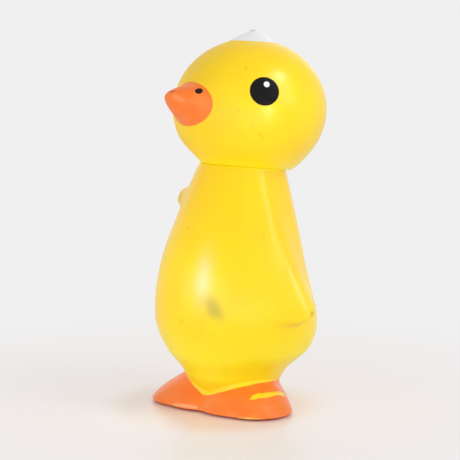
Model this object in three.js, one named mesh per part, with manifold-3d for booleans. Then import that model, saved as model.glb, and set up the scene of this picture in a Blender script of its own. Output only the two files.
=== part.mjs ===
import * as THREE from 'three';
import Module from 'manifold-3d';
import { LoftGeometry } from 'three/addons/geometries/LoftGeometry.js';
import { mergeVertices } from 'three/addons/utils/BufferGeometryUtils.js';

// Hollow vinyl chick figure in two moulded shells, head and body, that snap together at the neck.
// Millimetres, +Z up. The chick faces -Y and its left side is +X.
// The origin is on the ground, under the axis of the body.

const { clamp, degToRad, lerp, smoothstep } = THREE.MathUtils;

// Moulded vinyl
const WALL = 2.5;
const SEAM_GAP = 0.3;

// Body from the ground to the neck seam, on the axis
const BODY_HEIGHT = 105.5;
const NECK_RADIUS = 19.4;
const SHOULDER_RADIUS = 25.8;
const CHEST_RADIUS = 32.2;
const BELLY_RADIUS = 36;
const LOWER_BELLY_RADIUS = 32.4;
const GROIN_RADIUS = 22.7;
const STUMP_RADIUS = 13;

// How far each of these sections is set forward of the axis
const NECK_FORWARD = -0.9;
const SHOULDER_FORWARD = 2.1;
const CHEST_FORWARD = 4.8;
const BELLY_FORWARD = 2.8;
const LOWER_BELLY_FORWARD = 1.4;
const GROIN_FORWARD = 3.9;
const STUMP_FORWARD = 3;

// Sections of the torso, each at its share of the body's height
const TORSO = [
  { level: -0.05, radius: STUMP_RADIUS, forward: STUMP_FORWARD },
  { level: 0.15, radius: GROIN_RADIUS, forward: GROIN_FORWARD },
  { level: 0.25, radius: LOWER_BELLY_RADIUS, forward: LOWER_BELLY_FORWARD },
  { level: 0.38, radius: BELLY_RADIUS, forward: BELLY_FORWARD },
  { level: 0.6, radius: CHEST_RADIUS, forward: CHEST_FORWARD },
  { level: 0.81, radius: SHOULDER_RADIUS, forward: SHOULDER_FORWARD },
  { level: 1, radius: NECK_RADIUS, forward: NECK_FORWARD },
];

// Feet: each sole is the outline round two toe circles and a heel circle, with a web between the feet
const TOE_RADIUS = 15.2;
const TOE_FORWARD = 13.3;
const TOE_SIDE = 20.3;
const INNER_TOE_RADIUS = 16.2;
const INNER_TOE_FORWARD = 13.8;
const INNER_TOE_SIDE = 9.6;
const HEEL_RADIUS = 8.2;
const HEEL_FORWARD = -5.7;
const HEEL_SIDE = 12.7;
const WEB_RADIUS = 14;
const SOLE_EDGE = 1.6;

// Top of each foot, which is lower between the feet, and its slope: 0 for round and 1 for straight
const FOOT_RISE = 19.7;
const FOOT_FRONT_RISE = 11.5;
const FOOT_STRAIGHT = 0.45;
const INSTEP_RADIUS = 10.2;
const INSTEP_FORWARD = 4.2;
const ANKLE_BLEND = 2.9;
const ANKLE_FRONT_BLEND = 4.5;
const ANKLE_FRONT_SPAN = degToRad(36);

// Wings: a crested ridge that runs from the neck down and back to a tip, with a valley behind it
const WING_PROUD = 0.4;
const WING_TIP_PROUD = 3.6;
const WING_CREST = 0.35;
const WING_TIP_CREST = 0.8;
const WING_CREST_SPAN = degToRad(6);
const WING_START_LEVEL = 0.9;
const WING_TOP_ANGLE = degToRad(65.5);
const WING_TIP_ANGLE = degToRad(89.5);
const WING_TIP_LEVEL = 0.42;
const WING_TOP_FRONT_SPAN = degToRad(22);
const WING_FRONT_SPAN = degToRad(36);
const WING_TOP_BACK_SPAN = degToRad(22);
const WING_BACK_SPAN = degToRad(12);
const WING_VALLEY = 1;
const WING_VALLEY_SPAN = degToRad(20);

// Crease under each wing, which curls up at both ends
const WING_CREASE_LEVEL = 0.386;
const WING_CREASE_ANGLE = degToRad(73);
const WING_CREASE_SPAN = degToRad(15);
const WING_CREASE_CURL = 0.02;
const WING_CREASE_SOFTNESS = 1.8;
const WING_TIP_SOFTNESS = 0.9;

// Knob of the shoulder, on the chick's right only
const KNOB_PROUD = 6.6;
const KNOB_ANGLE = degToRad(-80);
const KNOB_LEVEL = 0.868;
const KNOB_TURN = degToRad(11);
const KNOB_RISE = 4.6;

// Head: an upright spheroid, set back from the axis of the neck and turned to the chick's right
const HEAD_RADIUS = 34;
const HEAD_HALF_HEIGHT = 31.1;
const HEAD_RISE = 25.9;
const HEAD_BACK = 2.9;
const HEAD_TURN = degToRad(16);
const RIM_LIP = 1.3;
const RIM_LIP_RISE = 7;

// Beak: an oval foot on the face, drawn out forward and a little up to a blunt tip
const BEAK_HALF_WIDTH = degToRad(26);
const BEAK_HALF_HEIGHT = degToRad(16.6);
const BEAK_FOOT_PITCH = degToRad(6.9);
const BEAK_FOOT_POWER = 1.95;
const BEAK_TIP_POWER = 1.5;
const BEAK_PITCH = degToRad(20);
const BEAK_LENGTH = 10.6;
const BEAK_TIP_SHARE = 0.4;
const BEAK_FLANK_SHARE = 0.66;
const BEAK_BROW_OUT = 0.18;
const BEAK_CHIN_OUT = 0.42;

// Crown: a low blunt cone on top of the head
const CROWN_RADIUS = 9.2;
const CROWN_RISE = 4.2;
const CROWN_LEAN = degToRad(3.5);
const CROWN_TIP_RADIUS = 0.9;

// Neck joint: a grooved plug on the body, held by the floor of the head
const SEAM_TILT = degToRad(7.2);
const NECK_BACK = 4.2;
const PLUG_RADIUS = 11.5;
const PLUG_CLEARANCE = 0.3;
const FLANGE_RADIUS = 13.8;
const FLANGE_THICKNESS = 2.4;
const PLUG_BORE_RADIUS = 8.5;

// Facets
const BODY_FACETS = 68;
const BODY_LEVELS = 40;
const HEAD_FACETS = 52;
const HEAD_RINGS = 20;
const BEAK_RINGS = 10;
const HOLLOW_FACETS = 28;
const HOLLOW_LEVELS = 15;
const LATHE_FACETS = 40;
const SOLE_EDGE_STEPS = 3;
const SOLE_STEPS = 12;

const VINYL_YELLOW = 0xffdf2e;

const wasm = await Module();
wasm.setup();

// Solid of a closed geometry, and the geometry of a solid
function solid(geometry) {
  const bare = new THREE.BufferGeometry().copy(geometry);
  bare.deleteAttribute('normal');
  bare.deleteAttribute('uv');
  const merged = mergeVertices(bare, 1e-4);
  const mesh = new wasm.Mesh({
    numProp: 3,
    vertProperties: new Float32Array(merged.attributes.position.array),
    triVerts: new Uint32Array(merged.index.array),
  });
  mesh.merge();
  return new wasm.Manifold(mesh);
}

function geometryOf(manifold) {
  const mesh = manifold.getMesh();
  const geometry = new THREE.BufferGeometry();
  geometry.setAttribute('position', new THREE.BufferAttribute(new Float32Array(mesh.vertProperties), 3));
  geometry.setIndex(new THREE.BufferAttribute(new Uint32Array(mesh.triVerts), 1));
  geometry.computeVertexNormals();
  return geometry;
}

// Smooth curve through rows of { level, ... }, at any level, for one named value of the rows
function along(rows, key, level) {
  const last = rows.length - 1;
  let i = 0;
  while (i < last - 1 && level > rows[i + 1].level) {
    i += 1;
  }
  const slope = (k) => {
    const a = rows[Math.max(k - 1, 0)];
    const b = rows[Math.min(k + 1, last)];
    return (b[key] - a[key]) / (b.level - a.level);
  };
  const span = rows[i + 1].level - rows[i].level;
  const t = (level - rows[i].level) / span;
  if (t > 1) {
    return rows[last][key] + slope(last) * (level - rows[last].level);
  }
  const rise = rows[i + 1][key] - rows[i][key];
  const start = slope(i) * span;
  const end = slope(i + 1) * span;
  return rows[i][key] + t * (start + t * (3 * rise - 2 * start - end + t * (start + end - 2 * rise)));
}

// Distance from the axis to a circle, along a ray at an angle from straight ahead
function rayToCircle(angle, forward, side, radius) {
  const reach = Math.cos(angle) * forward + Math.sin(angle) * side;
  const inside = radius * radius - (forward * forward + side * side - reach * reach);
  return inside > 0 ? reach + Math.sqrt(inside) : 0;
}

function smoothMax(a, b, blend) {
  const overlap = Math.max(blend - Math.abs(a - b), 0) / blend;
  return Math.max(a, b) + overlap * overlap * blend * 0.25;
}

function torsoRadius(angle, z) {
  const level = z / BODY_HEIGHT;
  return rayToCircle(angle, along(TORSO, 'forward', level), 0, along(TORSO, 'radius', level));
}

// The circles that one sole is drawn round, in order
const SOLE_CIRCLES = [
  { forward: TOE_FORWARD, side: TOE_SIDE, radius: TOE_RADIUS },
  { forward: HEEL_FORWARD, side: HEEL_SIDE, radius: HEEL_RADIUS },
  { forward: INNER_TOE_FORWARD, side: INNER_TOE_SIDE, radius: INNER_TOE_RADIUS },
];

// Outline of both soles: the farthest point on a ray of the circles, the bands between them and the web
function soleRadius(angle) {
  const turn = Math.abs(angle);
  let reach = 0;
  SOLE_CIRCLES.forEach((from, i) => {
    const to = SOLE_CIRCLES[(i + 1) % SOLE_CIRCLES.length];
    for (let step = 0; step < SOLE_STEPS; step += 1) {
      const t = step / SOLE_STEPS;
      const radius = lerp(from.radius, to.radius, t);
      const hit = rayToCircle(turn, lerp(from.forward, to.forward, t), lerp(from.side, to.side, t), radius);
      reach = Math.max(reach, hit);
    }
  });
  return smoothMax(WEB_RADIUS, reach, ANKLE_BLEND);
}

// 1 straight ahead, between the feet, and 0 from the toes round to the heels
function atFront(angle) {
  return 1 - smoothstep(Math.abs(angle), 0, ANKLE_FRONT_SPAN);
}

function footRadius(angle, z) {
  const top = lerp(FOOT_RISE, FOOT_FRONT_RISE, atFront(angle));
  const rise = clamp((z - SOLE_EDGE) / (top - SOLE_EDGE), 0, 1);
  const share = lerp(Math.cos(rise * Math.PI / 2), 1 - rise, FOOT_STRAIGHT);
  const instep = rayToCircle(angle, INSTEP_FORWARD, 0, INSTEP_RADIUS);
  return lerp(instep, soleRadius(angle), share);
}

function bell(x) {
  return Math.exp(-x * x);
}

// Height of the wing over the torso
function wingHeight(angle, z) {
  const turn = Math.abs(angle);
  const level = z / BODY_HEIGHT;
  const down = clamp((1 - level) / (1 - WING_TIP_LEVEL), 0, 1);
  const away = turn - lerp(WING_TOP_ANGLE, WING_TIP_ANGLE, down * down);
  const frontSpan = lerp(WING_TOP_FRONT_SPAN, WING_FRONT_SPAN, down);
  const backSpan = lerp(WING_TOP_BACK_SPAN, WING_BACK_SPAN, down);
  const behind = smoothstep(away, 0, backSpan);
  const beside = away < 0 ? smoothstep(-away, 0, frontSpan) : behind;
  const flap = lerp(WING_PROUD, WING_TIP_PROUD, down * down) * (1 - beside);
  const valley = WING_VALLEY * bell((away - backSpan) / WING_VALLEY_SPAN * Math.SQRT2) * behind;
  const crest = lerp(WING_CREST, WING_TIP_CREST, down) * bell(away / WING_CREST_SPAN);
  const curl = clamp((turn - WING_CREASE_ANGLE) / WING_CREASE_SPAN, -2, 2);
  const crease = BODY_HEIGHT * (WING_CREASE_LEVEL + WING_CREASE_CURL * curl * curl);
  const aft = clamp((turn - WING_TOP_ANGLE) / (WING_TIP_ANGLE - WING_TOP_ANGLE), 0, 1);
  const softness = lerp(WING_CREASE_SOFTNESS, WING_TIP_SOFTNESS, aft);
  const above = smoothstep(z, crease - softness, crease + softness);
  const fade = 1 - smoothstep(level, WING_START_LEVEL, 1);
  return above * fade * (flap + crest - valley);
}

// Height of the shoulder knob over the torso, with a flat front and steep edges above and below
function knobHeight(angle, z) {
  const rise = (z - KNOB_LEVEL * BODY_HEIGHT) / KNOB_RISE;
  return KNOB_PROUD * bell((angle - KNOB_ANGLE) / KNOB_TURN) * bell(rise * rise);
}

// Outer surface of the body: feet and torso run into each other, with the wings on top
function shellRadius(angle, z) {
  const blend = lerp(ANKLE_BLEND, ANKLE_FRONT_BLEND, atFront(angle));
  return smoothMax(torsoRadius(angle, z), footRadius(angle, z), blend) + wingHeight(angle, z);
}

// The same surface with the knob, which is solid
function bodyRadius(angle, z) {
  return shellRadius(angle, z) + knobHeight(angle, z);
}

function ringAt(facets, z, radiusAt) {
  return Array.from({ length: facets }, (_, i) => {
    const angle = (i / facets * 2 - 1) * Math.PI;
    const radius = radiusAt(angle);
    return new THREE.Vector3(Math.sin(angle) * radius, -Math.cos(angle) * radius, z);
  });
}

// Levels of the body, closer together in the feet than in the torso
function bodyLevels(count, bottom, top) {
  return Array.from({ length: count + 1 }, (_, i) => lerp(bottom, top, Math.pow(i / count, 1.35)));
}

// Frame of the neck: its origin is on the axis of the joint, in the seam, and its Z axis is square to the seam
const neckFrame = new THREE.Matrix4().makeRotationX(-SEAM_TILT);
neckFrame.setPosition(0, NECK_BACK, BODY_HEIGHT - NECK_BACK * Math.tan(SEAM_TILT));

// Block in the frame of the neck that covers everything between two heights over the seam
function seamBlock(from, to) {
  const size = 4 * HEAD_RADIUS;
  const block = new THREE.BoxGeometry(size, size, to - from);
  block.translate(0, 0, (from + to) / 2);
  return solid(block);
}

// Turned solid on the axis of the neck, from rows of [radius, height over the seam]
function neckTurning(rows) {
  const points = rows.map(([radius, height]) => new THREE.Vector2(radius, height));
  const turning = new THREE.LatheGeometry(points, LATHE_FACETS);
  turning.rotateX(Math.PI / 2);
  return solid(turning);
}

function disc(radius, from, to) {
  return neckTurning([[0, from], [radius, from], [radius, to], [0, to]]);
}

function bodyShell() {
  const clearOfSeam = 2 * HEAD_RADIUS;
  const top = BODY_HEIGHT + 2 * NECK_RADIUS * Math.tan(SEAM_TILT);
  const rings = [];
  for (let i = 0; i < SOLE_EDGE_STEPS; i += 1) {
    const turn = i / SOLE_EDGE_STEPS * Math.PI / 2;
    const inset = SOLE_EDGE * (1 - Math.sin(turn));
    const z = SOLE_EDGE * (1 - Math.cos(turn));
    rings.push(ringAt(BODY_FACETS, z, (angle) => bodyRadius(angle, SOLE_EDGE) - inset));
  }
  for (const z of bodyLevels(BODY_LEVELS, SOLE_EDGE, top)) {
    rings.push(ringAt(BODY_FACETS, z, (angle) => bodyRadius(angle, z)));
  }
  const outer = solid(new LoftGeometry(rings, { capStart: true, capEnd: true }));
  const hollowRings = bodyLevels(HOLLOW_LEVELS, WALL, top).map((z) => ringAt(HOLLOW_FACETS, z, (angle) => {
    const slope = (shellRadius(angle, z + WALL) - shellRadius(angle, z - WALL)) / (2 * WALL);
    return shellRadius(angle, z) - WALL * Math.hypot(1, slope);
  }));
  const hollow = solid(new LoftGeometry(hollowRings, { capStart: true, capEnd: true }));
  const aboveSeam = seamBlock(0, clearOfSeam).transform(neckFrame.elements);
  const aboveHollow = seamBlock(-WALL, clearOfSeam).transform(neckFrame.elements);
  const flangeFrom = SEAM_GAP + WALL + PLUG_CLEARANCE;
  const flangeTo = flangeFrom + FLANGE_THICKNESS;
  const stem = disc(PLUG_RADIUS, -WALL / 2, flangeTo);
  const flange = neckTurning([
    [0, flangeFrom],
    [FLANGE_RADIUS, flangeFrom],
    [FLANGE_RADIUS, flangeFrom + FLANGE_THICKNESS / 3],
    [PLUG_RADIUS, flangeTo],
    [0, flangeTo],
  ]);
  const plug = stem.add(flange).transform(neckFrame.elements);
  const bore = disc(PLUG_BORE_RADIUS, -2 * WALL, 2 * flangeTo).transform(neckFrame.elements);
  return outer.subtract(aboveSeam).subtract(hollow.subtract(aboveHollow)).add(plug).subtract(bore);
}

// The head is laid out upright about the origin of the neck frame, then leant forward into that frame
const headCentre = new THREE.Vector3(0, HEAD_BACK, HEAD_RISE);
const seamNormal = new THREE.Vector3(0, Math.sin(SEAM_TILT), Math.cos(SEAM_TILT));
const acrossAxis = new THREE.Vector3(1, 0, 0);

// Point of the head's spheroid, less an inset, at a polar angle from the foot of the beak and a roll round it
function spheroidPoint(polar, roll, inset) {
  const across = Math.sin(polar) * Math.sin(roll);
  const up = Math.sin(polar) * Math.cos(roll);
  const direction = new THREE.Vector3(across, -Math.cos(polar), up).applyAxisAngle(acrossAxis, -BEAK_FOOT_PITCH);
  const flat = Math.hypot(direction.x, direction.y) / (HEAD_RADIUS - inset);
  const upright = direction.z / (HEAD_HALF_HEIGHT - inset);
  const point = direction.multiplyScalar(1 / Math.hypot(flat, upright));
  const outward = new THREE.Vector3(point.x, point.y, 0).normalize();
  point.add(headCentre);
  const rear = (1 + outward.y) / 2;
  const lip = RIM_LIP * rear * (1 - smoothstep(point.dot(seamNormal), 0, RIM_LIP_RISE));
  return point.addScaledVector(outward, lip);
}

// Section of the beak: a rounded diamond with its corners at the brow, the chin and the ends of the mouth
function beakFootAngle(roll, power) {
  const side = Math.pow(Math.abs(Math.sin(roll)) / BEAK_HALF_WIDTH, power);
  const upright = Math.pow(Math.abs(Math.cos(roll)) / BEAK_HALF_HEIGHT, power);
  return Math.pow(side + upright, -1 / power);
}

// Profile of the beak, from the tip to the face: share of the foot, and share of the length out from it
function beakProfile(flankOut) {
  return new THREE.CubicBezierCurve(
    new THREE.Vector2(0, 1),
    new THREE.Vector2(BEAK_TIP_SHARE, 1),
    new THREE.Vector2(BEAK_FLANK_SHARE, flankOut),
    new THREE.Vector2(1, 0),
  );
}

function headOuter() {
  const axis = new THREE.Vector3(0, -Math.cos(BEAK_PITCH), Math.sin(BEAK_PITCH));
  const rolls = Array.from({ length: HEAD_FACETS }, (_, i) => i / HEAD_FACETS * 2 * Math.PI);
  const rings = [];
  for (let i = 1; i <= BEAK_RINGS; i += 1) {
    const brow = beakProfile(BEAK_BROW_OUT).getPoint(i / BEAK_RINGS);
    const chin = beakProfile(BEAK_CHIN_OUT).getPoint(i / BEAK_RINGS);
    const power = lerp(BEAK_TIP_POWER, BEAK_FOOT_POWER, brow.x);
    rings.push(rolls.map((roll) => {
      const foot = spheroidPoint(brow.x * beakFootAngle(roll, power), roll, 0);
      const out = lerp(chin.y, brow.y, (1 + Math.cos(roll)) / 2);
      return foot.addScaledVector(axis, out * BEAK_LENGTH);
    }));
  }
  for (let i = 1; i < HEAD_RINGS; i += 1) {
    rings.push(rolls.map((roll) => {
      const polar = lerp(beakFootAngle(roll, BEAK_FOOT_POWER), Math.PI, i / HEAD_RINGS);
      return spheroidPoint(polar, roll, 0);
    }));
  }
  return solid(new LoftGeometry(rings, { capStart: true, capEnd: true }));
}

// The crown is turned about the upright axis of the head, then leant back with the curve of the head
function crown() {
  const base = HEAD_HALF_HEIGHT * Math.sqrt(1 - Math.pow(CROWN_RADIUS / HEAD_RADIUS, 2));
  const apex = HEAD_HALF_HEIGHT + CROWN_RISE;
  const root = base - WALL;
  const profile = [
    new THREE.Vector2(0, root),
    new THREE.Vector2(CROWN_RADIUS - WALL, root),
    new THREE.Vector2(CROWN_RADIUS, base),
    new THREE.Vector2(CROWN_TIP_RADIUS, apex - CROWN_TIP_RADIUS / 2),
    new THREE.Vector2(0, apex),
  ];
  const cone = new THREE.LatheGeometry(profile, LATHE_FACETS);
  cone.rotateX(Math.PI / 2 - CROWN_LEAN);
  cone.translate(headCentre.x, headCentre.y, headCentre.z);
  return solid(cone);
}

function headShell() {
  const clearOfSeam = 2 * HEAD_RADIUS;
  const lean = new THREE.Matrix4().makeRotationX(SEAM_TILT);
  const hollowRolls = Array.from({ length: HOLLOW_FACETS }, (_, i) => i / HOLLOW_FACETS * 2 * Math.PI);
  const hollowRings = [];
  for (let i = 1; i < HOLLOW_LEVELS; i += 1) {
    const polar = i / HOLLOW_LEVELS * Math.PI;
    hollowRings.push(hollowRolls.map((roll) => spheroidPoint(polar, roll, WALL)));
  }
  const hollow = solid(new LoftGeometry(hollowRings, { capStart: true, capEnd: true })).transform(lean.elements);
  const outer = headOuter().add(crown()).transform(lean.elements);
  const belowSeam = seamBlock(-clearOfSeam, SEAM_GAP);
  const floor = seamBlock(-clearOfSeam, SEAM_GAP + WALL);
  const hole = disc(PLUG_RADIUS + PLUG_CLEARANCE, -WALL, 2 * WALL);
  return outer.subtract(belowSeam).subtract(hollow.subtract(floor)).subtract(hole);
}

function vinylMesh(name, manifold) {
  const material = new THREE.MeshStandardMaterial({ color: VINYL_YELLOW, roughness: 0.38, metalness: 0 });
  const mesh = new THREE.Mesh(geometryOf(manifold), material);
  mesh.name = name;
  return mesh;
}

const chick = new THREE.Group();
chick.add(vinylMesh('body_shell', bodyShell()));

// The head sits in the frame of the neck and is turned about its axis
const neck = new THREE.Group();
neck.applyMatrix4(neckFrame);
const head = vinylMesh('head_shell', headShell());
head.rotation.z = -HEAD_TURN;
neck.add(head);
chick.add(neck);

export default chick;
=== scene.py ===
import math

import bpy
import numpy as np
from mathutils import Matrix, Vector


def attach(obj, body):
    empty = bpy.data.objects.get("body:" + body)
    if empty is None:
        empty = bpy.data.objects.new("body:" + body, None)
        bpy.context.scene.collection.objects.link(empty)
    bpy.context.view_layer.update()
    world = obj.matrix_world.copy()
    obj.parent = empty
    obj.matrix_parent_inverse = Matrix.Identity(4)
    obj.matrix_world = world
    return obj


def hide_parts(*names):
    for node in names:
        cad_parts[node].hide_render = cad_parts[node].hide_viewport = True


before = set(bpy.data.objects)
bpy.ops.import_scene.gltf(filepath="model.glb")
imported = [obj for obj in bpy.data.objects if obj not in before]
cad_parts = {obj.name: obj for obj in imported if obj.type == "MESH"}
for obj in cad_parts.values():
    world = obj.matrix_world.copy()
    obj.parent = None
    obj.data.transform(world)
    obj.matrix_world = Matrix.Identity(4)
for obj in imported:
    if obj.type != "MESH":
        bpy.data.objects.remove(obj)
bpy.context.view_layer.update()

# Sizes of the figure in millimetres, and angles in degrees unless they are converted here. They follow the
# solids, with finer forms added, such as the undercut of the sole and the hollow under the head
MM = 0.001
WALL = 2.5
SEAM_GAP = 0.01
RIM_ROUND = 0.025
SHOULDER_RADIUS = 19.7
SHOULDER_DROP = 0.45

BODY_HEIGHT = 105.5
TORSO_LEVEL = np.array([-0.05, 0.15, 0.25, 0.38, 0.6, 0.81, 1])
TORSO_RADIUS = np.array([13, 22.7, 32.4, 36, 32.2, 25.8, 19.4])
TORSO_FORWARD = np.array([3, 3.9, 1.4, 2.8, 4.8, 2.1, -0.9])

TOE_RADIUS = 15.2
TOE_FORWARD = 13.3
TOE_SIDE = 20.3
INNER_TOE_RADIUS = 16.2
INNER_TOE_FORWARD = 13.8
INNER_TOE_SIDE = 9.6
HEEL_RADIUS = 8.2
HEEL_FORWARD = -5.7
HEEL_SIDE = 12.7
WEB_RADIUS = 14
SOLE_EDGE = 1.6
UNDERCUT_DEPTH = 4.5
UNDERCUT_RISE = 0.9
CLEFT_ROUND = math.radians(5)
SOLE_STEPS = 40
FOOT_RISE = 19.7
FOOT_FRONT_RISE = 11.5
FOOT_STRAIGHT = 0.45
INSTEP_RADIUS = 10.2
INSTEP_FORWARD = 4.2
ANKLE_BLEND = 2.9
ANKLE_FRONT_BLEND = 4.5
ANKLE_FRONT_SPAN = 36

WING_PROUD = 0.4
WING_TIP_PROUD = 3.6
WING_CREST = 0.25
WING_TIP_CREST = 1
WING_CREST_SPAN = 9.5
WING_CREST_SHIFT = 3
WING_START_LEVEL = 0.9
WING_TOP_ANGLE = 65.5
WING_TIP_ANGLE = 89.5
WING_TIP_LEVEL = 0.42
WING_TOP_FRONT_SPAN = 22
WING_FRONT_SPAN = 36
WING_TOP_BACK_SPAN = 24
WING_BACK_SPAN = 30
WING_VALLEY = 0.6
WING_VALLEY_SPAN = 24
WING_CREASE_LEVEL = 0.386
WING_CREASE_ANGLE = 73
WING_CREASE_SPAN = 17
WING_CREASE_CURL = 0.02
WING_CREASE_ENDS = (-1.6, 1.22)
WING_CREASE_SOFTNESS = 2.8
WING_TIP_SOFTNESS = 1.1
FOLD_ANGLE = 42.5
FOLD_SPAN = 4
FOLD_PROUD = 0.15
FOLD_LEVEL = 0.86
FOLD_LENGTH = 0.1
KNOB_PROUD = 6.2
KNOB_ANGLE = -80
KNOB_LEVEL = 0.868
KNOB_TURN = 11
KNOB_RISE = 4.6

HEAD_RADIUS = 34
HEAD_HALF_HEIGHT = 31.1
HEAD_TURN = math.radians(16)
RIM_LIP = 1.3
RIM_LIP_RISE = 7
CHIN_DEPTH = 2.1
CHIN_HEIGHT = -22
CHIN_SPAN = 6.5
CHIN_FADE = (-1, 1.5)
CHIN_SIDE = (-16, -2)

BEAK_HALF_WIDTH = math.radians(26)
BEAK_HALF_HEIGHT = math.radians(16.6)
BEAK_FOOT_PITCH = math.radians(6.9)
BEAK_FOOT_POWER = 1.95
BEAK_TIP_POWER = 1.5
BEAK_PITCH = math.radians(20)
BEAK_LENGTH = 10.6
BEAK_TIP_SHARE = 0.4
BEAK_FLANK_SHARE = 0.66
BEAK_BROW_OUT = 0.18
BEAK_CHIN_OUT = 0.42

CROWN_RADIUS = 9.9
CROWN_RISE = 4.2
CROWN_LEAN = math.radians(4.4)
CROWN_SIDE = math.radians(0.7)
CROWN_TIP_ROUND = 0.02
CROWN_TIP_SHARE = 0.6
CROWN_PAINT_RADIUS = 10.3
CROWN_PAINT_LEAN = math.radians(4.9)
CROWN_PAINT_SIDE = math.radians(1)
CROWN_BLEND = 0.5
CROWN_COSINE = 0.9

SEAM_TILT = math.radians(7.2)
NECK_AXIS = np.array([0, math.sin(SEAM_TILT), math.cos(SEAM_TILT)])
SEAM_RISE = 0.6
HEAD_CENTRE = np.array([0, 2.9, 25.9]) - NECK_AXIS * SEAM_RISE
NECK_BACK = 4.2
PLUG_RADIUS = 11.5
PLUG_CLEARANCE = 0.3
FLANGE_RADIUS = 13.8
FLANGE_THICKNESS = 2.4
FLANGE_EDGE = 0.8
PLUG_BORE_RADIUS = 8.5

# Painted features on the head: azimuth from straight ahead and rise over the head's centre, in degrees
EYE_PLACE = (65.3, 15.9)
EYE_RADIUS = 6.4
GLINT_PLACE = (67.4, 20.9)
GLINT_RADIUS = 1.28
GLINT_SPECK_RADIUS = 0.35
CROWN_TIP_RADIUS = 1.6
# Painted shade: a grey-green line down the crown's left slope, at its edge
CROWN_SHADE_TOP = (-36, 84)
CROWN_SHADE_FOOT = (-36, 77)
CROWN_SHADE_WIDTH = 0.7
NOSTRIL_POINT = np.array([8.5, -33, 9.4])
NOSTRIL_RADIUS = 1.75
BEAK_DIRT = [(0.4, -42.3, 9.8), (2, -41.5, 10)]
BEAK_DIRT_WIDTH = 0.6
# Painted highlight: a pale streak along the ridge of the beak
BEAK_PAINTED_HIGHLIGHT = [(4, -42, 7.6), (6.6, -40.3, 5.8)]
BEAK_PAINTED_HIGHLIGHT_WIDTH = 1.3
HEAD_MARKS = [
    # azimuth and rise of each end, and how wide
    (51.1, 35.6, 50.7, 33.8, 0.7),
    (44.9, 2.5, 45.5, 1.5, 0.8),
    (55.1, -8.5, 55.6, -9.3, 0.7),
    (60.2, -15.4, 62.6, -17.8, 0.6),
]

# Painted and worn places on the body, and places of painted shade and painted highlights: angle from straight
# ahead, height, half sizes
PAINT_ANGLE = np.array([-180, -100, -70, -36, -15, -4, 10, 34, 52, 70, 100, 180])
PAINT_HEIGHT = np.array([12, 12, 14, 13.3, 9.2, 6.9, 8.2, 11.6, 13.2, 13.4, 12, 12])
PATCH = [
    # angle and height along the worn stroke, and half its width there
    (46.4, 8.3, 0.4),
    (50, 9.1, 1.2),
    (53.5, 9.5, 1.5),
    (58.5, 9.4, 1.5),
    (63, 9.45, 1.3),
    (69, 9.35, 1),
    (74, 9, 1),
    (77, 8.6, 1.4),
    (80, 8.2, 1.4),
]
EDGE_RUB = [(36, 1.2, 0.2), (43, 1.3, 0.35), (51, 1.4, 0.2)]
# Painted highlight: a pale streak along the far foot's lower edge
EDGE_PAINTED_HIGHLIGHT = [(-25, 1.9, 0.2), (-14, 2.3, 0.45), (-4, 2.2, 0.3)]
# Painted shade under the head's rim at the back, and along the crease under the wing
RIM_SHADE = [(66, 105.5, 0.2), (80, 104.4, 0.9), (99, 103.4, 0.9), (112, 103, 0.2)]
CREASE_SHADE_LINE = [(62, 41.4, 0.2), (72, 40.6, 0.6), (82, 40.5, 0.8), (90, 42, 0.8)]
WING_TIP_PLACE = (89.5, 44.6)
WING_TIP_RUB_WIDTH = 1.7
STAIN_PLACE = (21, 49.4)
STAIN_HALF = (4, 7.4)
STAIN_SLANT = math.radians(38)
# Painted highlight: a pale patch where the belly's highlight falls
BELLY_HIGHLIGHT_PLACE = (13, 61.5)
BELLY_HIGHLIGHT_HALF = (4.2, 10)
BLOTCH_DEPTH = 7.5
BODY_MARKS = [
    # angle and height of each end, and how wide
    (-2.5, 42.8, -2, 42.2, 0.9),
    (-10.8, 81.5, -10.6, 80.9, 0.7),
    (57.8, 79.1, 57.8, 78.4, 0.7),
]

# Fineness of the surfaces
SOLE_SHARES = (0.3, 0.6, 0.85, 1)
HOLLOW_SHARES = (0.6, 0.3)
BODY_COLUMNS = 384
FOOT_ROWS = 72
TORSO_ROWS = 128
HEAD_COLUMNS = 400
HEAD_ROWS = 200
HOLLOW_ROWS = 18
EDGE_STEPS = 4
SHOULDER_STEPS = 7
FACE_CROWDING = 0.55
BEAK_PROFILE_STEPS = 200
BEAK_ROUNDS = 6
SEARCH_ROUNDS = 40
LOWEST_RISE = -1.5
SHARP_ANGLE = math.radians(50)
SEARCH_MARGIN = 10
TINY = 1e-6
FAR = 1000


def smoothstep(x, low, high):
    t = np.clip((x - low) / (high - low), 0, 1)
    return t * t * (3 - 2 * t)


def lerp(a, b, t):
    return a + (b - a) * t


def smooth_max(a, b, blend):
    overlap = np.maximum(blend - np.abs(a - b), 0) / blend
    return np.maximum(a, b) + overlap ** 2 * blend * 0.25


def rotation_x(angle):
    return np.array(Matrix.Rotation(angle, 3, "X"))


def rotation_z(angle):
    return np.array(Matrix.Rotation(angle, 3, "Z"))


def along(levels, values, level):
    """Smooth curve through the values at their levels, straight past the last one."""
    slopes = np.gradient(values, levels)
    slopes[1:-1] = (values[2:] - values[:-2]) / (levels[2:] - levels[:-2])
    i = np.clip(np.searchsorted(levels, level) - 1, 0, len(levels) - 2)
    span = levels[i + 1] - levels[i]
    t = (level - levels[i]) / span
    rise = values[i + 1] - values[i]
    start = slopes[i] * span
    end = slopes[i + 1] * span
    inside = values[i] + t * (start + t * (3 * rise - 2 * start - end + t * (start + end - 2 * rise)))
    return np.where(t > 1, values[-1] + slopes[-1] * (level - levels[-1]), inside)


def ray_to_circle(angle, forward, side, radius):
    """Distance from the axis to a circle, along a ray at an angle from straight ahead."""
    reach = np.cos(angle) * forward + np.sin(angle) * side
    inside = radius ** 2 - (forward ** 2 + side ** 2 - reach ** 2)
    return np.where(inside > 0, reach + np.sqrt(np.maximum(inside, 0)), 0)


# Body

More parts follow.
